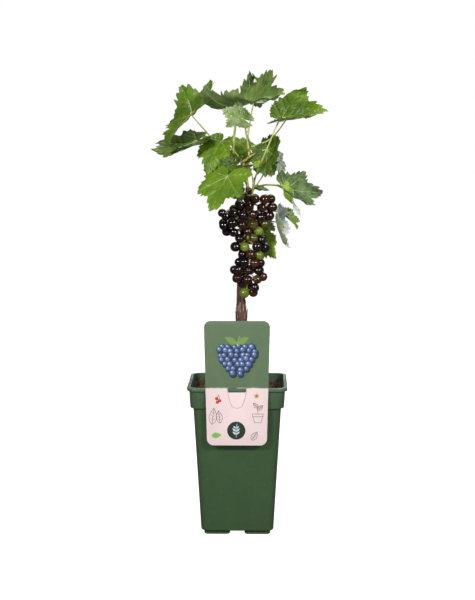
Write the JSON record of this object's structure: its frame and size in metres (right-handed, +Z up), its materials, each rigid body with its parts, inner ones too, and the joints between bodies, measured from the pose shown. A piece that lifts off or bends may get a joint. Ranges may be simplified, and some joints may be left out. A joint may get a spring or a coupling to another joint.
{
  "type": "potted grapevine",
  "caption": "Young grapevine with one bunch of dark grapes, in a deep square green nursery pot with a hanging label card.",
  "frame": {"origin": "middle of the pot's underside, at the level that its feet stand on", "axes": "+Z up the trunk, -Y towards the label card's face, +X to the right when the card is faced"},
  "size_m": [0.2593, 0.1849, 0.6954],
  "materials": {
    "pot_plastic": "satin dark green moulded plastic",
    "compost": "rough, damp, dark brown with pale chips",
    "card": "smooth printed card, green above and pale pink below",
    "bark": "rough dark reddish brown bark",
    "shoot": "smooth young green wood with brown nodes",
    "leaf": "satin green with pale veins, greyer below",
    "grape": "glossy purple-black berries on pale green stalks"
  },
  "bodies": {
    "root": {"pot": "pot_plastic", "soil": "compost", "label_card": "card", "trunk": "bark", "main_shoot": "shoot", "left_spur": "shoot", "right_spur": "shoot", "grape_bunch": "grape", "leaf_top": "leaf", "leaf_upper_left": "leaf", "leaf_far_left": "leaf", "leaf_upper_right": "leaf", "leaf_small_top": "leaf", "leaf_left": "leaf", "leaf_front": "leaf", "leaf_shaded_left": "leaf", "leaf_inner": "leaf", "leaf_shaded_right": "leaf", "leaf_inner_right": "leaf", "leaf_hanging_right": "leaf", "leaf_pale_right": "leaf", "leaf_right": "leaf", "leaf_silver": "leaf", "leaf_right_low": "leaf", "leaf_behind_bunch": "leaf", "leaf_small_front": "leaf", "leaf_rear_top": "leaf", "leaf_rear_left": "leaf", "leaf_rear_right": "leaf", "leaf_rear_low": "leaf"}
  },
  "joints": []
}
